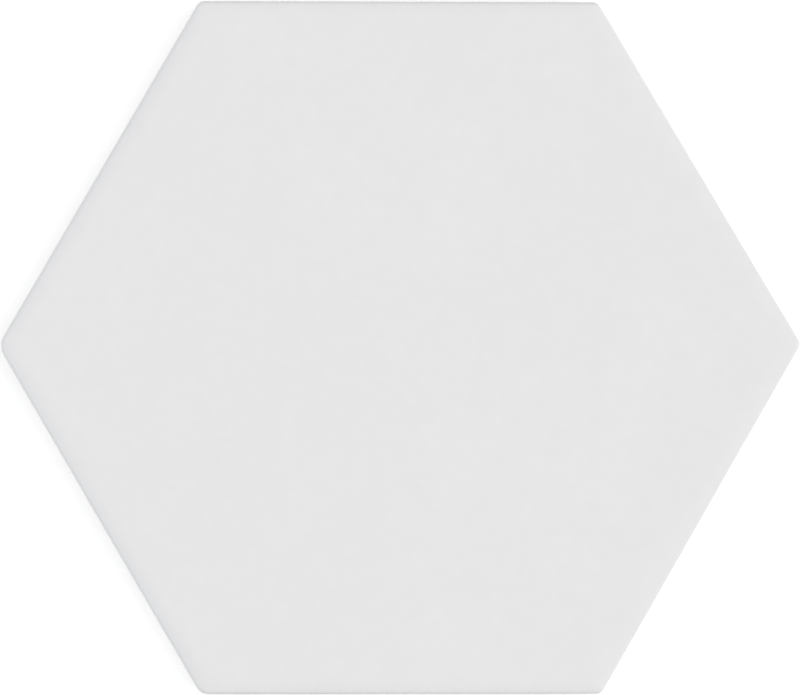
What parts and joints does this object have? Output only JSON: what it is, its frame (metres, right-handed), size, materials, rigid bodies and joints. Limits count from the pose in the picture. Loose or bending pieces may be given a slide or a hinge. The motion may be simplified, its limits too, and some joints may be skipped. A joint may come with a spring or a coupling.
{
  "type": "hexagonal porcelain tile",
  "caption": "Matt white pressed porcelain tile in the shape of a regular hexagon, with softly rolled face edges and a honeycomb keying relief on its back.",
  "frame": {"origin": "middle of the flat plane that the back of the tile rests on", "axes": "+Z out of the face, +X at a corner of the hexagon, +Y at the middle of a straight side"},
  "size_m": [0.1162, 0.101, 0.009],
  "materials": {
    "porcelain": "matte"
  },
  "bodies": {
    "root": {"tile": "porcelain"}
  },
  "joints": []
}
